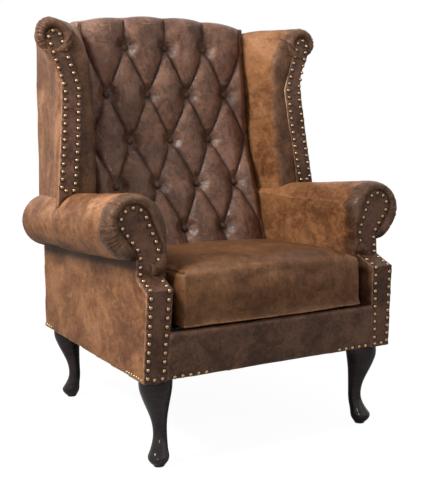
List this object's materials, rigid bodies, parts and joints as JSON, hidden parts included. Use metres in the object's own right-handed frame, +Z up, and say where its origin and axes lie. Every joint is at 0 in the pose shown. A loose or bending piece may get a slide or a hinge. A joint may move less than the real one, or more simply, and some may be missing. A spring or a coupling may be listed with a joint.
{
  "type": "wing chair",
  "caption": "Deep-buttoned leather wing chair with rolled scroll arms, loose seat cushion, nailed facings and short cabriole legs.",
  "frame": {"origin": "on the floor, under the middle of the chair's bounding box", "axes": "+Z up, -Y is the chair's front, +X is to the right as seen facing its front"},
  "size_m": [0.82, 0.796, 1.07],
  "materials": {
    "tan_leather": "soft worn brown",
    "smooth_leather": "smoother, dusty brown",
    "frame_wood": "bare beech",
    "black_lacquer": "glossy black lacquer",
    "antique_brass": "antique domed",
    "spring_steel": "bright",
    "webbing": "woven jute",
    "deck_cloth": "plain woven",
    "dust_cloth": "non-woven black",
    "glide_plastic": "moulded"
  },
  "bodies": {
    "chair": {"back_buttons": "smooth_leather", "back_webbing": "webbing", "base_nails": "antique_brass", "corner_blocks": "frame_wood", "crest_rail": "frame_wood", "dust_cover": "dust_cloth", "foot_glides": "glide_plastic", "front_border": "smooth_leather", "front_left_leg": "black_lacquer", "front_rail": "frame_wood", "front_right_leg": "black_lacquer", "inside_back": "smooth_leather", "left_arm_facing": "smooth_leather", "left_arm_nails": "antique_brass", "left_arm_pad": "tan_leather", "left_arm_rail": "frame_wood", "left_arm_stump": "frame_wood", "left_back_board": "frame_wood", "left_knee_block": "frame_wood", "left_outside_arm": "tan_leather", "left_outside_wing": "tan_leather", "left_side_rail": "frame_wood", "left_wing_facing": "smooth_leather", "left_wing_nails": "antique_brass", "left_wing_pad": "tan_leather", "left_wing_post": "frame_wood", "left_wing_rail": "frame_wood", "leg_bolts": "spring_steel", "lower_back_rail": "frame_wood", "outside_back": "tan_leather", "rear_left_leg": "black_lacquer", "rear_rail": "frame_wood", "rear_right_leg": "black_lacquer", "right_arm_facing": "smooth_leather", "right_arm_nails": "antique_brass", "right_arm_pad": "tan_leather", "right_arm_rail": "frame_wood", "right_arm_stump": "frame_wood", "right_back_board": "frame_wood", "right_knee_block": "frame_wood", "right_outside_arm": "tan_leather", "right_outside_wing": "tan_leather", "right_side_rail": "frame_wood", "right_wing_facing": "smooth_leather", "right_wing_nails": "antique_brass", "right_wing_pad": "tan_leather", "right_wing_post": "frame_wood", "right_wing_rail": "frame_wood", "seat_deck": "deck_cloth", "seat_springs": "spring_steel", "spring_clips": "spring_steel"},
    "cushion": {"seat_cushion": "tan_leather"}
  },
  "joints": [
    {"name": "cushion_lift", "type": "slide", "parent": "chair", "child": "cushion", "axis": [0, 0, 1], "range_m": [0, 0.15]}
  ]
}
